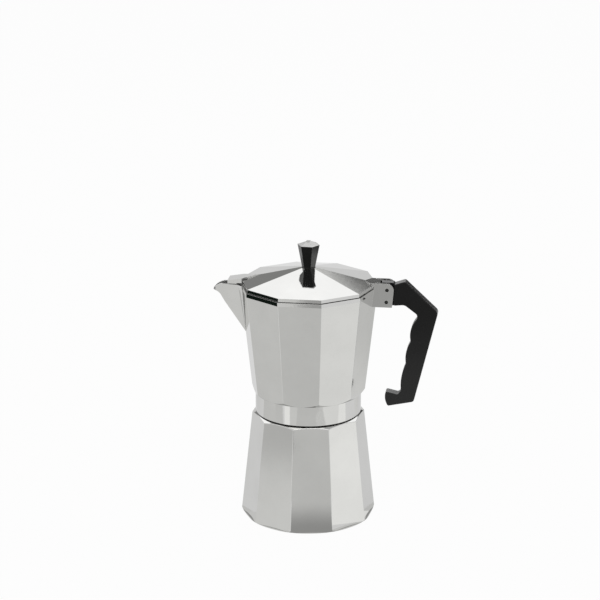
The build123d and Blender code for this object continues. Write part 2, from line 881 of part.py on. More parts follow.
lid_roof = tapered_block(lid_edge, lid_radius, knob_seat, knob_seat_radius)
lid_hollow = tapered_block(lid_inner_edge, lid_inner_radius, lid_inside_top, boss_radius)
flap_plan = (
    (flap_end, flap_half_width),
    (flap_inner - flap_point, flap_half_width),
    (flap_inner, 0),
    (flap_inner - flap_point, -flap_half_width),
    (flap_end, -flap_half_width),
)
lid_notch = side_prism(
    flap_half_width + notch_width,
    (-lid_radius, lid_bottom),
    (-lid_radius, lid_edge + lid_lip),
    (notch_depth - lid_radius, lid_edge + lid_lip),
    (notch_depth - lid_radius, lid_bottom),
)
lid_wing_cut = cross_bar(lug_radius, hinge_x, hinge_z, bracket_half + side_gap, fork_half)
lid_fork_cut = cross_bar(hinge_reach, hinge_x, hinge_z, fork_half)

with BuildPart() as lid_arms:
    with BuildSketch(Plane.XZ):
        with BuildLine():
            Polyline(
                (hinge_x, hinge_z + arm_radius),
                (hinge_x - hinge_reach, cheek_top),
                (hinge_x - lug_radius, cheek_top),
                (hinge_x - lug_radius, lid_bottom),
                (hinge_x - tenon_radius, lid_bottom),
                (hinge_x, hinge_z - arm_radius),
            )
            ThreePointArc(
                (hinge_x, hinge_z - arm_radius), (hinge_x + arm_radius, hinge_z), (hinge_x, hinge_z + arm_radius)
            )
        make_face()
    extrude(amount=fork_half, both=True)
    with BuildSketch(Plane.XZ):
        with Locations((hinge_x, hinge_z)):
            Circle(hinge_reach)
    extrude(amount=fork_half - hinge_arm, both=True, mode=Mode.SUBTRACT)

with BuildPart() as lid_flap:
    add(
        side_prism(
            flap_half_width,
            (flap_end, lid_bottom - flap_lip),
            (flap_end, lid_bottom + flap_tip_thickness),
            (flap_inner, lid_slope_height(-flap_inner) + flap_stand),
            (flap_inner, lid_bottom),
            (flap_end + flap_lip_length, lid_bottom),
            (flap_end + flap_lip_length - flap_lip, lid_bottom - flap_lip),
        )
    )
    with BuildSketch(Plane.XY.offset(lid_bottom - flap_lip)):
        Polygon(*flap_plan, align=None)
    extrude(amount=lid_rise + lid_lip, mode=Mode.INTERSECT)

with BuildPart() as lid:
    with BuildSketch(Plane.XY.offset(lid_bottom)):
        RegularPolygon(lid_radius, facet_count)
    extrude(amount=lid_lip)
    add(lid_roof)
    add(lid_notch, mode=Mode.SUBTRACT)
    add(lid_flap.part)
    with BuildSketch(Plane.XY.offset(lid_bottom)):
        with BuildLine():
            Polyline(
                (lug_tip, 0),
                (lug_tip + lug_flare, bracket_half),
                (hinge_x, bracket_half),
                (hinge_x, -bracket_half),
                (lug_tip + lug_flare, -bracket_half),
                close=True,
            )
        make_face()
    extrude(amount=cheek_top - lid_bottom)
    add(lid_wing_cut, mode=Mode.SUBTRACT)
    add(lid_fork_cut, mode=Mode.SUBTRACT)
    add(lid_arms.part)
    with BuildSketch(Plane.XY.offset(lid_bottom)):
        RegularPolygon(lid_inner_radius, facet_count)
    extrude(amount=lid_inner_edge - lid_bottom, mode=Mode.SUBTRACT)
    add(lid_hollow, mode=Mode.SUBTRACT)
    with BuildSketch(Plane.XY.offset(boss_bottom)):
        Circle(boss_radius)
    extrude(amount=knob_seat - skin_drop - boss_bottom)
    with BuildSketch(Plane.XY.offset(boss_bottom)):
        Circle(screw_radius + screw_clearance)
    extrude(amount=lid_boss_depth, mode=Mode.SUBTRACT)
    add(hinge_hole, mode=Mode.SUBTRACT)
lid.part.label = "lid"
export_step(lid.part, "parts/lid.step")

# Knob: a six-sided moulding with a metal cap, on a brass insert, held by a screw from under the lid
insert_radius = screw_radius + screw_thread_clearance + insert_wall
insert_top = knob_seat + insert_length
knob_rim = knob_seat + knob_height
knob_cap_top = knob_rim + knob_cap_rise
head_seat = boss_bottom - washer_thickness
head_bottom_face = head_seat - screw_head
head_radius = screw_radius + screw_head_overlap
knob_shaft = tapered_block(
    knob_rim, knob_rim_radius, knob_seat, knob_base_radius, sides=knob_sides, turn=knob_turn
)
knob_crown = tapered_block(
    knob_rim, knob_rim_radius, knob_cap_top, knob_button_radius, sides=knob_sides, turn=knob_turn
)

with BuildPart() as knob:
    add(knob_shaft)
    with BuildSketch(Plane.XY.offset(knob_seat)):
        Circle(insert_radius)
    extrude(amount=insert_length, mode=Mode.SUBTRACT)
    with BuildSketch(Plane.XY.offset(knob_rim - knob_cap_spigot - knob_cap_end_gap)):
        Circle(knob_button_radius + knob_cap_clearance)
    extrude(amount=knob_cap_spigot + knob_cap_end_gap, mode=Mode.SUBTRACT)
knob.part.label = "knob"
export_step(knob.part, "parts/knob.step")

with BuildPart() as knob_cap:
    add(knob_crown)
    with BuildSketch(Plane.XY.offset(knob_rim - knob_cap_spigot)):
        Circle(knob_button_radius)
    extrude(amount=knob_cap_spigot + knob_cap_rise + knob_button)
knob_cap.part.label = "knob_cap"
export_step(knob_cap.part, "parts/knob_cap.step")

with BuildPart() as knob_insert:
    with BuildSketch(Plane.XY.offset(knob_seat)):
        Circle(insert_radius)
        Circle(screw_radius + screw_thread_clearance, mode=Mode.SUBTRACT)
    extrude(amount=insert_length)
knob_insert.part.label = "knob_insert"
export_step(knob_insert.part, "parts/knob_insert.step")

with BuildPart() as knob_washer:
    with BuildSketch(Plane.XY.offset(head_seat)):
        Circle(washer_radius)
        Circle(screw_radius + screw_clearance, mode=Mode.SUBTRACT)
    extrude(amount=washer_thickness)
knob_washer.part.label = "knob_washer"
export_step(knob_washer.part, "parts/knob_washer.step")

with BuildPart() as knob_screw:
    with BuildSketch(Plane.XY.offset(head_seat)):
        Circle(screw_radius)
    extrude(amount=insert_top - screw_end_gap - head_seat)
    with BuildSketch(Plane.XY.offset(head_bottom_face)):
        Circle(head_radius)
    extrude(amount=screw_head)
    with BuildSketch(Plane.XY.offset(head_bottom_face)):
        Rectangle(3 * head_radius, screw_slot_width)
    extrude(amount=screw_slot_depth, mode=Mode.SUBTRACT)
knob_screw.part.label = "knob_screw"
export_step(knob_screw.part, "parts/knob_screw.step")

# Hinge pin and handle pin, both through the bracket and the handle's tenon
with BuildPart() as hinge_pin:
    add(cross_bar(pin_radius, hinge_x, hinge_z, bracket_half - pin_recess))
hinge_pin.part.label = "hinge_pin"
export_step(hinge_pin.part, "parts/hinge_pin.step")

with BuildPart() as handle_pin:
    add(cross_bar(pin_radius, handle_pin_x, handle_pin_z, bracket_half - pin_recess))
handle_pin.part.label = "handle_pin"
export_step(handle_pin.part, "parts/handle_pin.step")


# Handle: a moulded grip with finger humps and a hooked end, and a thin tenon between the bracket's cheeks
def from_pin(offset):
    """A point of the handle's outline, from its offset to the hinge pin."""
    return (hinge_x + offset[0], hinge_z + offset[1])


handle_start = bracket_crown + handle_gap
tenon_top = bracket_crown - tenon_drop
tenon_top_left = (-math.sqrt(tenon_radius**2 - tenon_top**2), tenon_top)
handle_rounds = (
    (handle_throat, throat_round),
    (grip_top, grip_round),
    (grip_joints[0], grip_end_round),
    (grip_joints[1], hump_round),
    (grip_joints[2], hump_round),
    (grip_joints[-1], grip_end_round),
    (hook_root, hook_round),
    (handle_tip, tip_round),
    (handle_toe, tip_round),
    (handle_heel, heel_round),
    (handle_elbow, elbow_round),
    (handle_peak, peak_round),
)

with BuildPart() as handle:
    with BuildSketch(Plane.XZ) as handle_side:
        with BuildLine():
            Polyline(
                from_pin((handle_start, -handle_foot)),
                from_pin(handle_throat),
                from_pin(grip_top),
                from_pin(grip_joints[0]),
            )
            for hump, bulge in enumerate(grip_humps):
                ThreePointArc(from_pin(grip_joints[hump]), from_pin(bulge), from_pin(grip_joints[hump + 1]))
            Polyline(from_pin(grip_joints[-1]), from_pin(hook_root), from_pin(handle_tip))
            ThreePointArc(from_pin(handle_tip), from_pin(handle_tip_bulge), from_pin(handle_toe))
            Polyline(
                from_pin(handle_toe),
                from_pin(handle_heel),
                from_pin(handle_elbow),
                from_pin(handle_peak),
                from_pin((handle_start, handle_start_rise)),
                from_pin((handle_start, -handle_foot)),
            )
        make_face()
        for corner, rounding in handle_rounds:
            fillet(handle_side.vertices().sort_by_distance(from_pin(corner))[0], rounding)
    extrude(amount=handle_thickness / 2, both=True)
    start_edges = handle.faces().filter_by(Axis.X).edges()
    fillet(handle.faces().filter_by(Axis.Y).edges() - start_edges, handle_edge)
    with BuildSketch(Plane.XZ):
        with BuildLine():
            RadiusArc(from_pin(tenon_top_left), from_pin((-tenon_radius, 0)), -tenon_radius)
            Polyline(
                from_pin((-tenon_radius, 0)),
                from_pin((-tenon_radius, -handle_foot)),
                from_pin((handle_start + handle_edge, -handle_foot)),
                from_pin((handle_start + handle_edge, handle_start_rise)),
                from_pin((handle_start, handle_start_rise)),
                from_pin((handle_start - (tenon_top - handle_start_rise), tenon_top)),
                from_pin(tenon_top_left),
            )
        make_face()
    extrude(amount=tenon_half, both=True)
    add(hinge_hole, mode=Mode.SUBTRACT)
    add(handle_hole, mode=Mode.SUBTRACT)
handle.part.label = "handle"
export_step(handle.part, "parts/handle.step")
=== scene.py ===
"""Studio picture of a ten-sided aluminium stove-top moka pot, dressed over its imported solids.

All lengths are in metres.
"""

import logging
import math
from abc import ABC, abstractmethod
from dataclasses import dataclass, field
from enum import Enum
from typing import Any

import bmesh
import bpy
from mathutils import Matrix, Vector


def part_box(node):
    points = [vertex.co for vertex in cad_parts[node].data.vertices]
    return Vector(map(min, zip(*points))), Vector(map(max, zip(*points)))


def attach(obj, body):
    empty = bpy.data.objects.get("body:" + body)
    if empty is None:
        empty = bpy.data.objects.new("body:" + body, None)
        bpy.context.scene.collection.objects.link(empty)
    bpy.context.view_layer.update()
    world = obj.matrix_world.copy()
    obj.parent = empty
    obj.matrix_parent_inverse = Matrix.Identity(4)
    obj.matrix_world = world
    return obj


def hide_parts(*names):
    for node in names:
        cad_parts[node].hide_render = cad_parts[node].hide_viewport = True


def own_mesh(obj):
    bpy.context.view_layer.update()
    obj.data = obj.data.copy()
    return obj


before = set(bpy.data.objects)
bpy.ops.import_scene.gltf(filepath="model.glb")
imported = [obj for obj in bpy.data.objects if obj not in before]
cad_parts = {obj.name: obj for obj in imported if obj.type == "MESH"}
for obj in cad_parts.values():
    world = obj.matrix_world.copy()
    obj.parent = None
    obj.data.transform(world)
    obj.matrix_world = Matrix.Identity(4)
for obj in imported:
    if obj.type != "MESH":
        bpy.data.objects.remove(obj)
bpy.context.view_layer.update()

log = logging.getLogger("moka_pot")

Point = tuple[float, float]
Place = tuple[float, float, float]
Colour = tuple[float, float, float, float]

WHITE: Colour = (1.0, 1.0, 1.0, 1.0)
GREENISH: Colour = (0.6, 1.0, 0.75, 1.0)
MILLIMETRES_PER_METRE = 1000.0


class Slot(Enum):
    """The record's material slots that the added pieces take."""

    SHEET = "sheet_aluminium"
    STEEL = "steel"


class Body(Enum):
    """The bodies that the added pieces ride on."""

    BOILER = "boiler_body"
    SEALS = "seal_stack"


class Graph:
    """A node tree with short calls for adding and joining nodes."""

    mix_colours: tuple[int, int] = (6, 7)  # the Mix node's two colour inputs
    mixed_colour: int = 2  # and its colour output

    def __init__(self, tree: bpy.types.NodeTree) -> None:
        """Takes the tree to build in."""
        self.tree = tree

    def add(
        self, kind: str, inputs: dict[str | int, Any] | None = None, **settings: Any
    ) -> bpy.types.Node:
        """Adds a node.

        Args:
            kind: the node's type name.
            inputs: values or sockets by input name or number.
            settings: the node's own properties.

        Returns:
            The new node.
        """
        node = self.tree.nodes.new(kind)
        for name, value in settings.items():
            setattr(node, name, value)
        for name, value in (inputs or {}).items():
            self.put(node.inputs[name], value)
        return node

    def put(self, socket: bpy.types.NodeSocket, value: Any) -> None:
        """Links a socket to an input, or sets the input to a plain value.

        Args:
            socket: the input.
            value: another node's output, or a value.
        """
        if isinstance(value, bpy.types.NodeSocket):
            self.tree.links.new(value, socket)
        else:
            socket.default_value = value

    def math(self, operation: str, *values: Any) -> bpy.types.NodeSocket:
        """A Math node.

        Args:
            operation: Blender's name of the operation.
            values: sockets or numbers for its inputs, in order.

        Returns:
            The result's socket.
        """
        node = self.add("ShaderNodeMath", operation=operation)
        for socket, value in zip(node.inputs, values):
            self.put(socket, value)
        return node.outputs[0]

    def ramp(
        self, value: Any, low: float, high: float, to_low: float = 0.0, to_high: float = 1.0
    ) -> bpy.types.NodeSocket:
        """Maps a range of a value to another range, with soft ends.

        Args:
            value: the socket to map.
            low: value that gives to_low.
            high: value that gives to_high.
            to_low: result at low.
            to_high: result at high.

        Returns:
            The result's socket.
        """
        node = self.add("ShaderNodeMapRange", interpolation_type="SMOOTHSTEP")
        for socket, number in zip(node.inputs, (value, low, high, to_low, to_high)):
            self.put(socket, number)
        return node.outputs["Result"]

    def dot(self, first: Any, second: Any) -> bpy.types.NodeSocket:
        """The dot product of two vectors or sockets."""
        node = self.add("ShaderNodeVectorMath", {0: first, 1: second}, operation="DOT_PRODUCT")
        return node.outputs["Value"]

    def blend(self, factor: Any, first: Any, second: Any) -> bpy.types.NodeSocket:
        """Mixes two colours.

        Args:
            factor: 0 gives the first, 1 the second.
            first: colour or socket.
            second: colour or socket.

        Returns:
            The mixed colour's socket.
        """
        node = self.add("ShaderNodeMix", {"Factor": factor}, data_type="RGBA")
        for number, colour in zip(self.mix_colours, (first, second)):
            self.put(node.inputs[number], colour)
        return node.outputs[self.mixed_colour]


def new_group(name: str, inputs: dict[str, float], output: str) -> tuple[Any, Graph, Any, Any]:
    """Starts a shader node group of number sockets.

    Args:
        name: the group's name.
        inputs: default value of each input.
        output: the output's name.

    Returns:
        The group, its graph, its input node and its output node.
    """
    group = bpy.data.node_groups.new(name, "ShaderNodeTree")
    for label, default in inputs.items():
        socket = group.interface.new_socket(label, in_out="INPUT", socket_type="NodeSocketFloat")
        socket.default_value = default
    group.interface.new_socket(output, in_out="OUTPUT", socket_type="NodeSocketFloat")
    graph = Graph(group)
    return group, graph, graph.add("NodeGroupInput"), graph.add("NodeGroupOutput")


class SurfaceEffects:
    """Effects that several finishes share, each a shader node group."""

    grain_detail: float = 3.0
    haze_detail: float = 4.0
    haze_roughness: float = 0.6
    haze_range: tuple[float, float] = (0.3, 0.7)  # noise from no patch to a full patch
    edge_samples: int = 6
    edge_range: tuple[float, float] = (0.995, 0.9)  # likeness of normals, flat and at an edge
    inward: float = -0.15  # a wall faces the axis when it points outwards by less
    upward: float = 0.5  # a floor points up by more
    downward: float = -0.8  # an underside points up by less

    def __init__(self) -> None:
        """Builds every group once."""
        self.grain = self._grain()
        self.haze = self._haze()
        self.wear = self._wear()
        self.inside = self._inside()
        self.upwards = self._upwards()

    def _grain(self) -> bpy.types.NodeTree:
        """Fine lines left by a polishing or drawing tool, running along one axis.

        Returns:
            The group.
        """
        defaults = {"Lines per metre": 3000.0, "Stretch": 30.0}
        group, graph, given, out = new_group("fine grain", defaults, "Height")
        place = graph.add("ShaderNodeTexCoord").outputs["Object"]
        parts = graph.add("ShaderNodeSeparateXYZ", {0: place}).outputs
        slow = graph.math("DIVIDE", parts["Z"], given.outputs["Stretch"])
        stretched = graph.add("ShaderNodeCombineXYZ", {"X": parts["X"], "Y": parts["Y"], "Z": slow})
        settings = {
            "Vector": stretched.outputs[0],
            "Scale": given.outputs["Lines per metre"],
            "Detail": self.grain_detail,
        }
        noise = graph.add("ShaderNodeTexNoise", settings)
        graph.put(out.inputs["Height"], noise.outputs[0])
        return group

    def _haze(self) -> bpy.types.NodeTree:
        """Broad cloudy patches, as handling and washing leave.

        Returns:
            The group.
        """
        group, graph, given, out = new_group("handling haze", {"Patches per metre": 25.0}, "Mask")
        settings = {
            "Vector": graph.add("ShaderNodeTexCoord").outputs["Object"],
            "Scale": given.outputs["Patches per metre"],
            "Detail": self.haze_detail,
            "Roughness": self.haze_roughness,
        }
        noise = graph.add("ShaderNodeTexNoise", settings)
        graph.put(out.inputs["Mask"], graph.ramp(noise.outputs[0], *self.haze_range))
        return group

    def _wear(self) -> bpy.types.NodeTree:
        """Rubbed edges, where the surface turns within a small radius.

        Returns:
            The group.
        """
        group, graph, given, out = new_group("edge wear", {"Reach": 0.0006}, "Mask")
        reach = {"Radius": given.outputs["Reach"]}
        rounded = graph.add("ShaderNodeBevel", reach, samples=self.edge_samples).outputs[0]
        true_normal = graph.add("ShaderNodeNewGeometry").outputs["Normal"]
        likeness = graph.dot(rounded, true_normal)
        graph.put(out.inputs["Mask"], graph.ramp(likeness, *self.edge_range))
        return group

    def _inside(self) -> bpy.types.NodeTree:
        """Surfaces that face the pot's axis, lie low inside it or face straight down.

        Returns:
            The group.
        """
        defaults = {"Floor radius": 0.05, "Floor height": 0.0}
        group, graph, given, out = new_group("inside of the pot", defaults, "Mask")
        coords = graph.add("ShaderNodeTexCoord").outputs
        level = {0: coords["Object"], 1: (1.0, 1.0, 0.0)}
        flat = graph.add("ShaderNodeVectorMath", level, operation="MULTIPLY").outputs[0]
        radius = graph.add("ShaderNodeVectorMath", {0: flat}, operation="LENGTH").outputs["Value"]
        outwards = graph.add("ShaderNodeVectorMath", {0: flat}, operation="NORMALIZE").outputs[0]
        wall = graph.math("LESS_THAN", graph.dot(outwards, coords["Normal"]), self.inward)
        rise = graph.add("ShaderNodeSeparateXYZ", {0: coords["Normal"]}).outputs["Z"]
        height = graph.add("ShaderNodeSeparateXYZ", {0: coords["Object"]}).outputs["Z"]
        upwards = graph.math("GREATER_THAN", rise, self.upward)
        within = graph.math("LESS_THAN", radius, given.outputs["Floor radius"])
        low = graph.math("LESS_THAN", height, given.outputs["Floor height"])
        floor = graph.math("MULTIPLY", graph.math("MULTIPLY", upwards, within), low)
        under = graph.math("LESS_THAN", rise, self.downward)
        inner = graph.math("MAXIMUM", wall, floor)
        graph.put(out.inputs["Mask"], graph.math("MAXIMUM", inner, under))
        return group

    def _upwards(self) -> bpy.types.NodeTree:
        """Faces that look up, where a painted sheen stands in for the light from above.

        Returns:
            The group.
        """
        defaults = {"None at": 0.82, "All at": 0.94}
        group, graph, given, out = new_group("faces that look up", defaults, "Mask")
        normal = graph.add("ShaderNodeTexCoord").outputs["Normal"]
        rise = graph.add("ShaderNodeSeparateXYZ", {0: normal}).outputs["Z"]
        mask = graph.ramp(rise, given.outputs["None at"], given.outputs["All at"])
        graph.put(out.inputs["Mask"], mask)
        return group


def placed(
    graph: Graph, group: bpy.types.NodeTree, inputs: dict[str, float] | None = None
) -> bpy.types.NodeSocket:
    """Places a shared effect in a material.

    Args:
        graph: the material's graph.
        group: the effect.
        inputs: its own values here.

    Returns:
        The group node's first output.
    """
    node = graph.add("ShaderNodeGroup")
    node.node_tree = group
    for name, value in (inputs or {}).items():
        graph.put(node.inputs[name], value)
    return node.outputs[0]


def new_material(name: str) -> tuple[bpy.types.Material, Graph, bpy.types.Node]:
    """Starts a material.

    Args:
        name: its name.

    Returns:
        The material, its graph and its Principled shader.
    """
    material = bpy.data.materials.new(name)
    material.use_nodes = True
    graph = Graph(material.node_tree)
    return material, graph, material.node_tree.nodes["Principled BSDF"]


@dataclass(frozen=True)
class PolishedAluminium:
    """Cast aluminium, polished outside and left satin inside."""

    name: str
    floor_radius: float
    floor_height: float
    bright: Colour = (0.61, 0.61, 0.60, 1.0)
    hazed: Colour = (0.58, 0.58, 0.57, 1.0)
    satin: Colour = (0.54, 0.54, 0.53, 1.0)
    polish: tuple[float, float] = (0.035, 0.06)
    grazing: Colour = (0.8, 0.8, 0.8, 1.0)
    satin_roughness: float = 0.42
    lines_per_metre: float = 3200.0
    bump: float = 0.035
    bump_depth: float = 0.0004
    edge_radius: float = 0.00015
    edge_samples: int = 16

    def build(self, effects: SurfaceEffects) -> bpy.types.Material:
        """Makes the material.

        Args:
            effects: the shared effects.

        Returns:
            The material.
        """
        material, graph, shader = new_material(self.name)
        haze = placed(graph, effects.haze)
        floor = {"Floor radius": self.floor_radius, "Floor height": self.floor_height}
        inside = placed(graph, effects.inside, floor)
        grain = placed(graph, effects.grain, {"Lines per metre": self.lines_per_metre})
        outside_colour = graph.blend(haze, self.bright, self.hazed)
        graph.put(shader.inputs["Base Color"], graph.blend(inside, outside_colour, self.satin))
        polish = graph.ramp(haze, 0.0, 1.0, *self.polish)
        rough = graph.add("ShaderNodeMix", {0: inside, 2: polish, 3: self.satin_roughness})
        graph.put(shader.inputs["Roughness"], rough.outputs[0])
        shader.inputs["Metallic"].default_value = 1.0
        shader.inputs["Specular Tint"].default_value = self.grazing
        edges = graph.add("ShaderNodeBevel", {"Radius": self.edge_radius}, samples=self.edge_samples)
        relief = {
            "Strength": self.bump,
            "Distance": self.bump_depth,
            "Height": grain,
            "Normal": edges.outputs[0],
        }
        bump = graph.add("ShaderNodeBump", relief)
        graph.put(shader.inputs["Normal"], bump.outputs[0])
        return material


@dataclass(frozen=True)
class PlainMetal:
    """A metal with one colour, tool lines and soft patches."""

    name: str
    colour: Colour
    dull: Colour
    roughness: tuple[float, float]
    patches_per_metre: float = 90.0
    lines_per_metre: float = 2500.0
    stretch: float = 1.0
    bump: float = 0.1
    bump_depth: float = 0.0004

    def build(self, effects: SurfaceEffects) -> bpy.types.Material:
        """Makes the material.

        Args:
            effects: the shared effects.

        Returns:
            The material.
        """
        material, graph, shader = new_material(self.name)
        haze = placed(graph, effects.haze, {"Patches per metre": self.patches_per_metre})
        lines = {"Lines per metre": self.lines_per_metre, "Stretch": self.stretch}
        grain = placed(graph, effects.grain, lines)
        graph.put(shader.inputs["Base Color"], graph.blend(haze, self.colour, self.dull))
        graph.put(shader.inputs["Roughness"], graph.ramp(haze, 0.0, 1.0, *self.roughness))
        shader.inputs["Metallic"].default_value = 1.0
        relief = {"Strength": self.bump, "Distance": self.bump_depth, "Height": grain}
        bump = graph.add("ShaderNodeBump", relief)
        graph.put(shader.inputs["Normal"], bump.outputs[0])
        return material


@dataclass(frozen=True)
class Moulding:
    """A moulded plastic or rubber with a fine skin and rubbed edges.

    Some pieces also have a painted sheen on top, standing in for light from above, and are paler
    towards the bottom.
    """

    name: str
    colour: Colour
    rubbed: Colour
    roughness: tuple[float, float]
    gloss: float = 0.5
    patches_per_metre: float = 60.0
    skin_per_metre: float = 2600.0
    bump: float = 0.12
    bump_depth: float = 0.0003
    wear_reach: float = 0.0009
    wear_share: tuple[float, float] = (0.35, 0.8)
    # painted sheen: a lighter colour on the faces that look up, for the light from above
    painted_sheen: Colour | None = None
    pale: Colour | None = None
    pale_heights: tuple[float, float] = (0.2, 0.11)

    def _colour(self, graph: Graph, effects: SurfaceEffects, wear: Any) -> bpy.types.NodeSocket:
        """Colour of the skin with its wear, paler lower end and painted sheen on top.

        Args:
            graph: the material's graph.
            effects: the shared effects.
            wear: mask of the rubbed edges.

        Returns:
            The colour's socket.
        """
        colour = self.colour
        if self.pale is not None:
            place = graph.add("ShaderNodeTexCoord").outputs["Object"]
            height = graph.add("ShaderNodeSeparateXYZ", {0: place}).outputs["Z"]
            colour = graph.blend(graph.ramp(height, *self.pale_heights), colour, self.pale)
        colour = graph.blend(wear, colour, self.rubbed)
        # painted sheen on the faces that look up, for the light from above
        if self.painted_sheen is not None:
            colour = graph.blend(placed(graph, effects.upwards), colour, self.painted_sheen)
        return colour

    def build(self, effects: SurfaceEffects) -> bpy.types.Material:
        """Makes the material.

        Args:
            effects: the shared effects.

        Returns:
            The material.
        """
        material, graph, shader = new_material(self.name)
        haze = placed(graph, effects.haze, {"Patches per metre": self.patches_per_metre})
        wear = placed(graph, effects.wear, {"Reach": self.wear_reach})
        skin = placed(graph, effects.grain, {"Lines per metre": self.skin_per_metre, "Stretch": 1.0})
        patchy = graph.math("MULTIPLY", wear, graph.ramp(haze, 0.0, 1.0, *self.wear_share))
        graph.put(shader.inputs["Base Color"], self._colour(graph, effects, patchy))
        graph.put(shader.inputs["Roughness"], graph.ramp(haze, 0.0, 1.0, *self.roughness))
        shader.inputs["Specular IOR Level"].default_value = self.gloss
        relief = {"Strength": self.bump, "Distance": self.bump_depth, "Height": skin}
        bump = graph.add("ShaderNodeBump", relief)
        graph.put(shader.inputs["Normal"], bump.outputs[0])
        return material


class Finishes:
    """Every finish of the pot, made once."""

    def __init__(self) -> None:
        """Builds the shared effects and the materials."""
        effects = SurfaceEffects()
        self.boiler = PolishedAluminium(
            "polished boiler", floor_radius=0.057, floor_height=0.0075, edge_radius=0.0007
        ).build(effects)
        self.collector = PolishedAluminium(
            "polished collector", floor_radius=0.056, floor_height=0.1215, bump=0.02
        ).build(effects)
        self.lid = PolishedAluminium(
            "polished lid", floor_radius=0.0, floor_height=0.0, bump=0.012
        ).build(effects)
        self.cast = PlainMetal(
            "cast aluminium", (0.60, 0.60, 0.59, 1.0), (0.52, 0.52, 0.51, 1.0), (0.36, 0.5), bump=0.25
        ).build(effects)
        self.sheet = PlainMetal(
            "drawn aluminium sheet",
            (0.72, 0.72, 0.71, 1.0),
            (0.66, 0.66, 0.65, 1.0),
            (0.24, 0.34),
            stretch=20.0,
        ).build(effects)
        self.brass = PlainMetal(
            "turned brass", (0.72, 0.50, 0.22, 1.0), (0.60, 0.40, 0.17, 1.0), (0.22, 0.34)
        ).build(effects)
        self.steel = PlainMetal(
            "bright steel", (0.58, 0.57, 0.56, 1.0), (0.48, 0.47, 0.46, 1.0), (0.2, 0.32)
        ).build(effects)
        self.dark_steel = PlainMetal(
            "blackened steel", (0.06, 0.06, 0.058, 1.0), (0.04, 0.04, 0.038, 1.0), (0.34, 0.45)
        ).build(effects)
        self.handle = Moulding(
            "black handle moulding",
            (0.003, 0.003, 0.003, 1.0),
            (0.02, 0.02, 0.02, 1.0),
            (0.26, 0.36),
            gloss=0.2,
            # painted sheen: the handle's faces that look up are painted light grey for the light from
            # above
            painted_sheen=(0.2, 0.2, 0.2, 1.0),
            pale=(0.02, 0.02, 0.02, 1.0),
        ).build(effects)
        self.knob = Moulding(
            "black knob moulding",
            (0.004, 0.004, 0.004, 1.0),
            (0.016, 0.016, 0.016, 1.0),
            (0.2, 0.28),
            gloss=0.17,
        ).build(effects)
        self.knob_cap = PlainMetal(
            "satin knob cap", (0.51, 0.51, 0.505, 1.0), (0.46, 0.46, 0.455, 1.0), (0.36, 0.44)
        ).build(effects)
        self.white_rubber = Moulding(
            "white rubber", (0.80, 0.78, 0.72, 1.0), (0.72, 0.69, 0.62, 1.0), (0.55, 0.68)
        ).build(effects)
        self.dark_rubber = Moulding(
            "dark rubber", (0.10, 0.035, 0.028, 1.0), (0.16, 0.07, 0.06, 1.0), (0.5, 0.62)
        ).build(effects)


class RimTree:
    """A Geometry Nodes tree that stands a low rolled rim round each hole of a perforated plate."""

    first_ring: int = 6  # holes in the ring next to the middle, and the growth of each ring after it
    rim_steps: int = 24
    wire_sides: int = 6

    def __init__(self, name: str, rings: int) -> None:
        """Builds the tree.

        Args:
            name: the tree's name.
            rings: rings of holes round the middle one.
        """
        self.tree = bpy.data.node_groups.new(name, "GeometryNodeTree")
        self.graph = Graph(self.tree)
        self.sockets: dict[str, str] = {}
        for label in ("Step", "Rim radius", "Wire radius", "Level"):
            self._socket(label, "NodeSocketFloat")
        self._socket("Finish", "NodeSocketMaterial")
        self.tree.interface.new_socket("Geometry", in_out="OUTPUT", socket_type="NodeSocketGeometry")
        self._wire(rings)

    def _socket(self, label: str, kind: str) -> None:
        """Adds an input of that kind and keeps its identifier."""
        socket = self.tree.interface.new_socket(label, in_out="INPUT", socket_type=kind)
        self.sockets[label] = socket.identifier

    def _holes(self, step: bpy.types.NodeSocket, rings: int) -> bpy.types.NodeSocket:
        """Points at the middle of every hole.

        Args:
            step: distance between rings of holes.
            rings: how many rings there are.

        Returns:
            The points' socket.
        """
        joined = self.graph.add("GeometryNodeJoinGeometry")
        middle = self.graph.add("GeometryNodeMeshLine", {"Count": 1})
        self.tree.links.new(middle.outputs[0], joined.inputs[0])
        for ring in range(1, rings + 1):
            radius = self.graph.math("MULTIPLY", step, float(ring))
            ring_of_holes = {"Vertices": self.first_ring * ring, "Radius": radius}
            circle = self.graph.add("GeometryNodeMeshCircle", ring_of_holes)
            self.tree.links.new(circle.outputs[0], joined.inputs[0])
        return joined.outputs[0]

    def _circle(self, steps: int, radius: bpy.types.NodeSocket) -> bpy.types.NodeSocket:
        """A round curve with that many points."""
        sizes = {"Resolution": steps, "Radius": radius}
        return self.graph.add("GeometryNodeCurvePrimitiveCircle", sizes).outputs[0]

    def _wire(self, rings: int) -> None:
        """Joins the nodes from the inputs to the finished rims.

        Args:
            rings: rings of holes round the middle one.
        """
        given = self.graph.add("NodeGroupInput").outputs
        path = self._circle(self.rim_steps, given["Rim radius"])
        profile = self._circle(self.wire_sides, given["Wire radius"])
        rim = self.graph.add("GeometryNodeCurveToMesh", {0: path, "Profile Curve": profile})
        rims = self.graph.add(
            "GeometryNodeInstanceOnPoints",
            {"Points": self._holes(given["Step"], rings), "Instance": rim.outputs[0]},
        )
        height = self.graph.add("ShaderNodeCombineXYZ", {"Z": given["Level"]})
        moved = self.graph.add(
            "GeometryNodeTransform", {"Geometry": rims.outputs[0], "Translation": height.outputs[0]}
        )
        real = self.graph.add("GeometryNodeRealizeInstances", {"Geometry": moved.outputs[0]})
        smooth = self.graph.add("GeometryNodeSetShadeSmooth", {"Geometry": real.outputs[0]})
        dressed = self.graph.add(
            "GeometryNodeSetMaterial", {"Geometry": smooth.outputs[0], "Material": given["Finish"]}
        )
        out = self.graph.add("NodeGroupOutput")
        self.tree.links.new(dressed.outputs[0], out.inputs[0])


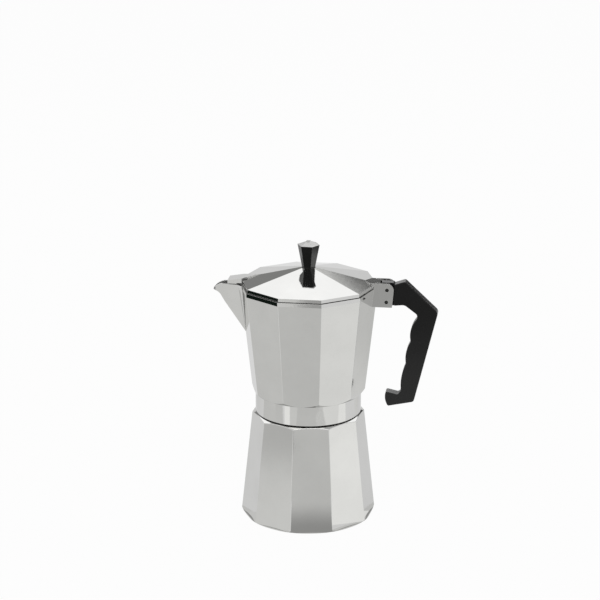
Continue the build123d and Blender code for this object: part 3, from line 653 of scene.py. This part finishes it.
@dataclass(frozen=True)
class PerforatedPlate:
    """A sheet plate whose punched holes have low rims on the upper side."""

    node: str
    body: Body
    hole_radius: float = 0.0008
    step: float = 0.0052
    margin: float = 0.0024
    wire_radius: float = 0.00012

    def rims(self, material: bpy.types.Material) -> bpy.types.Object:
        """Makes the rims as one plain mesh that rides with the plate.

        Args:
            material: their finish.

        Returns:
            The rims' object.
        """
        _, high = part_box(self.node)
        rings = math.floor((high[0] - self.margin) / self.step)
        name = self.node + "_hole_rims"
        tree = RimTree(name, rings)
        piece = bpy.data.objects.new(name, bpy.data.meshes.new(name))
        bpy.context.scene.collection.objects.link(piece)
        modifier = piece.modifiers.new(name, "NODES")
        modifier.node_group = tree.tree
        values = {
            "Step": self.step,
            "Rim radius": self.hole_radius + self.wire_radius,
            "Wire radius": self.wire_radius,
            "Level": high[2],
            "Finish": material,
        }
        for label, value in values.items():
            modifier[tree.sockets[label]] = value
        ready = piece.evaluated_get(bpy.context.evaluated_depsgraph_get())
        mesh = bpy.data.meshes.new_from_object(ready)
        piece.modifiers.clear()
        piece.data = mesh
        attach(piece, self.body.value)
        log.info("built %s round %d rings of holes", name, rings)
        return piece


@dataclass
class SubAssembly:
    """Pieces of the pot that belong together."""

    finishes: Finishes
    coats: dict[str, bpy.types.Material] = field(default_factory=dict)

    def build(self) -> None:
        """Adds the pieces that only the looks need."""

    def dress(self) -> None:
        """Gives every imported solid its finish."""
        for node, material in self.coats.items():
            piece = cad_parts[node]
            for place in piece.material_slots:
                place.link = "OBJECT"
                place.material = material
            log.info("dressed %s in %s", node, material.name)


@dataclass
class Boiler(SubAssembly):
    """The lower chamber with the coffee funnel in it."""

    plate: PerforatedPlate = PerforatedPlate("funnel_plate", Body.BOILER)

    def __post_init__(self) -> None:
        """Names the finish of each solid."""
        sheet = self.finishes.sheet
        self.coats = {"boiler": self.finishes.boiler, "funnel": sheet, "funnel_plate": sheet}

    def build(self) -> None:
        """Adds the rims of the funnel plate's holes."""
        self.plate.rims(self.finishes.sheet)


@dataclass
class SafetyValve(SubAssembly):
    """The sprung valve on the boiler's back.

    The valve stands on the middle of a boiler facet, and its parts share one axis.
    """

    axis: Place = (-0.180415, 0.978196, 0.102871)
    joint: str = "valve_lift"
    travel: float = 0.0015
    spring: str = "safety_valve_spring"
    weld: float = 0.000001
    sharp: float = math.radians(40.0)

    def __post_init__(self) -> None:
        """Names the finish of each solid."""
        for node in ("safety_valve_body", "safety_valve_cap", "safety_valve_plunger"):
            self.coats[node] = self.finishes.brass
        for node in ("safety_valve_washer", "safety_valve_seal"):
            self.coats[node] = self.finishes.dark_rubber
        self.coats[self.spring] = self.finishes.steel

    def _coil(self, packed: bpy.types.Mesh) -> bpy.types.Object:
        """Makes the spring's copy, with its corners welded and its flanks smooth.

        Args:
            packed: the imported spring's mesh.

        Returns:
            The copy's object.
        """
        mesh = bpy.data.meshes.new("safety_valve_coil")
        places = [vertex.co for vertex in packed.vertices]
        mesh.from_pydata(places, [], [list(face.vertices) for face in packed.polygons])
        shape = bmesh.new()
        shape.from_mesh(mesh)
        bmesh.ops.remove_doubles(shape, verts=shape.verts, dist=self.weld)
        shape.to_mesh(mesh)
        shape.free()
        mesh.shade_smooth()
        mesh.set_sharp_from_angle(angle=self.sharp)
        mesh.materials.append(self.finishes.steel)
        coil = bpy.data.objects.new("safety_valve_coil", mesh)
        bpy.context.scene.collection.objects.link(coil)
        return coil

    def build(self) -> None:
        """Adds a welded, smooth copy of the spring that rides on the boiler in place of the imported
        one.
        """
        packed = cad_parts[self.spring].data
        coil = self._coil(packed)
        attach(coil, Body.BOILER.value)
        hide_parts(self.spring)
        places = [vertex.co for vertex in packed.vertices]
        outer_end = max(places, key=Vector(self.axis).dot)
        inner_end = min(places, key=Vector(self.axis).dot)
        length = Vector(self.axis).dot(outer_end - inner_end)
        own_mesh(coil)
        log.info("built %s, %.1f mm long at rest", coil.name, MILLIMETRES_PER_METRE * length)


@dataclass
class Seals(SubAssembly):
    """The gasket and the filter plate that lies in it."""

    plate: PerforatedPlate = PerforatedPlate("filter_plate", Body.SEALS)

    def __post_init__(self) -> None:
        """Names the finish of each solid."""
        self.coats = {"gasket": self.finishes.white_rubber, "filter_plate": self.finishes.sheet}

    def build(self) -> None:
        """Adds the rims of the filter plate's holes."""
        self.plate.rims(self.finishes.sheet)


@dataclass
class Collector(SubAssembly):
    """The upper chamber with its riser column, handle and pins."""

    def __post_init__(self) -> None:
        """Names the finish of each solid."""
        self.coats = {
            "collector": self.finishes.collector,
            "riser_column": self.finishes.cast,
            "handle": self.finishes.handle,
            "hinge_pin": self.finishes.dark_steel,
            "handle_pin": self.finishes.dark_steel,
        }


@dataclass
class Lid(SubAssembly):
    """The hinged lid with its knob and the knob's fixing."""

    def __post_init__(self) -> None:
        """Names the finish of each solid."""
        self.coats = {
            "lid": self.finishes.lid,
            "knob": self.finishes.knob,
            "knob_cap": self.finishes.knob_cap,
            "knob_insert": self.finishes.brass,
            "knob_screw": self.finishes.steel,
            "knob_washer": self.finishes.steel,
        }


@dataclass(frozen=True)
class Camera:
    """The photograph's point of view."""

    target: Place = (0.0, 0.0, 0.125)
    azimuth: float = math.radians(7.55)
    elevation: float = math.radians(19.706)
    distance: float = 1.70698
    focal_pixels: float = 1923.8
    image_pixels: float = 600.0
    target_right: float = 8.48  # pixels between the picture's middle and the target
    target_below: float = 77.68
    sensor: float = 36.0  # millimetres
    clip_end: float = 50.0

    def build(self) -> bpy.types.Object:
        """Makes the camera, aimed so that the target lies where the photograph has it.

        Returns:
            The camera's object.
        """
        level = math.cos(self.elevation)
        back = Vector(
            (math.sin(self.azimuth) * level, -math.cos(self.azimuth) * level, math.sin(self.elevation))
        )
        right = Vector((math.cos(self.azimuth), math.sin(self.azimuth), 0.0))
        upwards = back.cross(right)
        metres_per_pixel = self.distance / self.focal_pixels
        place = Vector(self.target) + back * self.distance
        shift = upwards * self.target_below - right * self.target_right
        aim = Vector(self.target) + shift * metres_per_pixel
        data = bpy.data.cameras.new("photograph")
        data.sensor_width = self.sensor
        data.lens = self.focal_pixels * self.sensor / self.image_pixels
        data.clip_end = self.clip_end
        camera = bpy.data.objects.new("photograph", data)
        bpy.context.scene.collection.objects.link(camera)
        camera.location = place
        camera.rotation_euler = (aim - place).to_track_quat("-Z", "Y").to_euler()
        bpy.context.scene.camera = camera
        return camera


def disc(radius: float, steps: int = 72) -> tuple[Point, ...]:
    """Outline of a round card about the pot's axis, with that many corners."""
    turns = (2.0 * math.pi * step / steps for step in range(steps))
    return tuple((radius * math.cos(turn), radius * math.sin(turn)) for turn in turns)


@dataclass(frozen=True)
class Fade:
    """A change of tone along a straight line."""

    start: Place
    end: Place
    far_tone: float

    def shade(self, graph: Graph, tone: float) -> bpy.types.NodeSocket:
        """Brightness that goes from one tone to the far tone.

        Args:
            graph: the card's material.
            tone: brightness up to the start.

        Returns:
            The brightness's socket.
        """
        start = Vector(self.start)
        way = Vector(self.end) - start
        place = graph.add("ShaderNodeTexCoord").outputs["Object"]
        first = start.dot(way)
        last = first + way.length_squared
        return graph.ramp(graph.dot(place, way), first, last, tone, self.far_tone)


def flat_piece(name: str, corners: list[Vector], material: bpy.types.Material) -> bpy.types.Object:
    """Makes a flat piece of the studio.

    Args:
        name: its name.
        corners: its outline, in order.
        material: its look.

    Returns:
        The piece's object.
    """
    mesh = bpy.data.meshes.new(name)
    shape = bmesh.new()
    shape.faces.new([shape.verts.new(corner) for corner in corners])
    shape.to_mesh(mesh)
    shape.free()
    mesh.materials.append(material)
    piece = bpy.data.objects.new(name, mesh)
    bpy.context.scene.collection.objects.link(piece)
    return piece


@dataclass(frozen=True, kw_only=True)
class Card(ABC):
    """A flat card that the metal mirrors and the camera doesn't see, even or fading."""

    name: str
    tone: float
    tint: Colour = (1.0, 1.0, 0.985, 1.0)
    fade: Fade | None = None

    @abstractmethod
    def corners(self) -> list[Vector]:
        """The card's corners, in order."""

    def build(self) -> bpy.types.Object:
        """Makes the card.

        Returns:
            The card's object.
        """
        material, graph, _ = new_material(self.name)
        strength = self.fade.shade(graph, self.tone) if self.fade else self.tone
        glow = graph.add("ShaderNodeEmission", {"Color": self.tint, "Strength": strength})
        graph.put(material.node_tree.nodes["Material Output"].inputs["Surface"], glow.outputs[0])
        card = flat_piece(self.name, self.corners(), material)
        card.visible_camera = False
        card.visible_shadow = False
        card.visible_diffuse = False
        return card


@dataclass(frozen=True, kw_only=True)
class StandingCard(Card):
    """A rectangular card that hangs in the studio."""

    centre: Place
    size: Point
    facing: Place

    def corners(self) -> list[Vector]:
        """The card's corners, in order.

        Returns:
            Four places round the centre.
        """
        turn = Vector(self.facing).to_track_quat("Z", "Y")
        places = []
        for side, rise in ((-0.5, -0.5), (0.5, -0.5), (0.5, 0.5), (-0.5, 0.5)):
            from_centre = Vector((side * self.size[0], rise * self.size[1], 0.0))
            places.append(Vector(self.centre) + turn @ from_centre)
        return places


@dataclass(frozen=True, kw_only=True)
class FloorCard(Card):
    """A card that lies on the floor."""

    outline: tuple[Point, ...]
    layer: int = 1
    layer_height: float = 0.0003

    def corners(self) -> list[Vector]:
        """The card's corners, in order."""
        return [Vector((x, y, self.layer * self.layer_height)) for x, y in self.outline]


@dataclass(frozen=True)
class Softbox:
    """A large rectangular lamp."""

    name: str
    place: Place
    aim: Place
    size: Point
    radiance: float

    def build(self) -> bpy.types.Object:
        """Makes the lamp.

        Returns:
            The lamp's object.
        """
        data = bpy.data.lights.new(self.name, "AREA")
        data.shape = "RECTANGLE"
        data.size = self.size[0]
        data.size_y = self.size[1]
        data.energy = self.radiance * math.pi * self.size[0] * self.size[1]
        lamp = bpy.data.objects.new(self.name, data)
        bpy.context.scene.collection.objects.link(lamp)
        lamp.location = self.place
        way = Vector(self.aim) - Vector(self.place)
        lamp.rotation_euler = way.to_track_quat("-Z", "Y").to_euler()
        lamp.visible_camera = False
        return lamp


@dataclass(frozen=True)
class Studio:
    """White floor, white surroundings, soft lamps and cards."""

    floor_half: float = 14.0
    floor_colour: Colour = (0.9, 0.9, 0.9, 1.0)
    seen_white: float = 0.95
    ambient: float = 0.55
    lamps: tuple[Softbox, ...] = (
        Softbox("back softbox", (-0.25, 1.5, 1.75), (0.0, 0.0, 0.2), (2.6, 1.0), 0.54),
        Softbox("front softbox", (0.22, -1.7, 2.1), (0.0, 0.0, 0.1), (2.2, 1.2), 1.55),
    )
    cards: tuple[Card, ...] = (
        StandingCard(
            name="dark band behind",
            tone=0.35,
            centre=(-1.74, 2.2, 1.12),
            size=(2.92, 0.58),
            facing=(0.0, -1.0, 0.0),
        ),
        StandingCard(
            name="dark band at the back right",
            tone=1.0,
            fade=Fade((0.171, 2.2, 1.318), (0.184, 2.2, 1.28), 0.18),
            centre=(1.26, 2.2, 1.085),
            size=(3.08, 0.51),
            facing=(0.0, -1.0, 0.0),
        ),
        StandingCard(
            name="dark card behind on the right",
            tone=0.06,
            centre=(0.62, 1.45, 0.45),
            size=(0.6, 0.42),
            facing=(-0.35, -0.94, 0.0),
        ),
        StandingCard(
            name="bright card on the right",
            tone=5.0,
            centre=(1.4, 0.52, 0.35),
            size=(0.9, 0.5),
            facing=(-0.94, -0.34, 0.0),
        ),
        StandingCard(
            name="dark flag on the left",
            tone=0.012,
            tint=GREENISH,
            centre=(-0.56, -0.1, 0.11),
            size=(0.22, 0.2),
            facing=(1.0, 0.0, 0.0),
        ),
        StandingCard(
            name="dim room in front",
            tone=0.3,
            centre=(0.0, -2.4, 0.5),
            size=(1.0, 4.0),
            facing=(0.0, 1.0, 0.0),
        ),
        StandingCard(
            name="white card overhead",
            tone=2.2,
            centre=(0.0, -0.6, 1.9),
            size=(1.6, 0.8),
            facing=(0.0, 0.25, -1.0),
        ),
        FloorCard(name="shade round the foot", tone=0.84, outline=disc(0.067)),
        FloorCard(
            name="grey card in front",
            tone=0.77,
            outline=((-0.085, -0.9), (0.26, -0.9), (0.2, -0.2), (-0.085, -0.2)),
            layer=2,
        ),
        # painted shade: the floor next to the pot, darkest near it as if in the pot's shadow, for the
        # boiler's lower front to mirror
        FloorCard(
            name="dark edge in front",
            tone=0.42,
            fade=Fade((0.01, -0.07, 0.0), (0.04, -0.2, 0.0), 0.77),
            outline=((0.02, -0.25), (0.082, -0.25), (0.03, -0.046), (-0.01, -0.05)),
            layer=3,
        ),
        FloorCard(
            name="dim card far in front",
            tone=0.5,
            outline=((-0.09, -0.8), (0.085, -0.8), (0.085, -0.47), (-0.09, -0.47)),
            layer=3,
        ),
        FloorCard(
            name="pale card at the front left",
            tone=0.88,
            outline=(
                (-0.6, -0.52),
                (-0.6, -0.9),
                (-0.08, -0.9),
                (-0.08, -0.15),
                (-0.12, -0.16),
                (-0.3, -0.47),
            ),
        ),
        FloorCard(
            name="bright wedge at the front left",
            tone=1.2,
            outline=((-0.343, -0.374), (-0.255, -0.44), (-0.08, -0.137), (-0.1, -0.122)),
            layer=2,
        ),
        FloorCard(
            name="grey card at the front left",
            tone=0.9,
            fade=Fade((-0.1, -0.1, 0.0), (-0.4, -0.28, 0.0), 0.68),
            outline=((-0.7, -0.37), (-0.62, -0.48), (-0.015, -0.085), (-0.02, -0.05), (-0.06, -0.02)),
            layer=3,
        ),
        FloorCard(
            name="grey card on the left",
            tone=0.82,
            outline=((-0.6, -0.16), (-0.2, -0.16), (-0.2, 0.05), (-0.6, 0.05)),
            layer=2,
        ),
        FloorCard(
            name="white card on the right",
            tone=1.2,
            outline=((0.05, -0.1), (1.04, -0.1), (1.04, 0.0), (0.06, 0.0)),
            layer=2,
        ),
        FloorCard(
            name="pale card at the front right",
            tone=1.05,
            outline=((0.12, -0.3), (1.04, -0.3), (1.04, -0.1), (0.12, -0.1)),
            layer=2,
        ),
        FloorCard(
            name="grey card at the back right",
            tone=0.97,
            fade=Fade((0.2, 0.17, 0.0), (0.32, 0.32, 0.0), 0.83),
            outline=((0.2, 0.16), (0.46, 0.16), (0.46, 0.46), (0.2, 0.46)),
            layer=2,
        ),
        # painted shadow: a dark disc for the pot's contact shadow on the floor, which the foot's
        # rounding mirrors
        FloorCard(name="painted shadow under the foot", tone=0.42, outline=disc(0.0592), layer=4),
    )

    def build(self) -> None:
        """Makes the floor, the world, the lamps and the cards."""
        self._world()
        self._floor()
        for lamp in self.lamps:
            lamp.build()
        for card in self.cards:
            card.build()

    @staticmethod
    def _seen(graph: Graph) -> bpy.types.NodeSocket:
        """1 for what the camera sees straight, in a mirror or through glass, and 0 for other light.

        Args:
            graph: the graph to build in.

        Returns:
            The number's socket.
        """
        path = graph.add("ShaderNodeLightPath").outputs
        mirrored = graph.math("MAXIMUM", path["Is Glossy Ray"], path["Is Transmission Ray"])
        return graph.math("MAXIMUM", path["Is Camera Ray"], mirrored)

    def _world(self) -> None:
        """White surroundings to look at, softer as a light."""
        world = bpy.data.worlds.new("white studio")
        world.use_nodes = True
        bpy.context.scene.world = world
        graph = Graph(world.node_tree)
        background = world.node_tree.nodes["Background"]
        background.inputs["Color"].default_value = WHITE
        strength = graph.ramp(self._seen(graph), 0.0, 1.0, self.ambient, 1.0)
        graph.put(background.inputs["Strength"], strength)

    def _floor(self) -> None:
        """A white floor that keeps a little of the pot's shadow."""
        material, graph, _ = new_material("white floor")
        paper = graph.add("ShaderNodeBsdfDiffuse", {"Color": self.floor_colour})
        glow = graph.add("ShaderNodeEmission", {"Color": WHITE, "Strength": 1.0})
        share = graph.math("MULTIPLY", self._seen(graph), self.seen_white)
        mixed = graph.add("ShaderNodeMixShader", {0: share, 1: paper.outputs[0], 2: glow.outputs[0]})
        graph.put(material.node_tree.nodes["Material Output"].inputs["Surface"], mixed.outputs[0])
        half = self.floor_half
        outline = ((-half, -half), (half, -half), (half, half), (-half, half))
        floor = flat_piece("floor", [Vector((x, y, 0.0)) for x, y in outline], material)


def main() -> None:
    """Builds the studio and dresses the pot."""
    logging.basicConfig(level=logging.INFO, format="%(name)s: %(message)s")
    bpy.context.scene.view_settings.view_transform = "Standard"
    Camera().build()
    Studio().build()
    finishes = Finishes()
    for kind in (Boiler, SafetyValve, Seals, Collector, Lid):
        assembly = kind(finishes)
        assembly.build()
        assembly.dress()


if __name__ == "__main__":
    main()
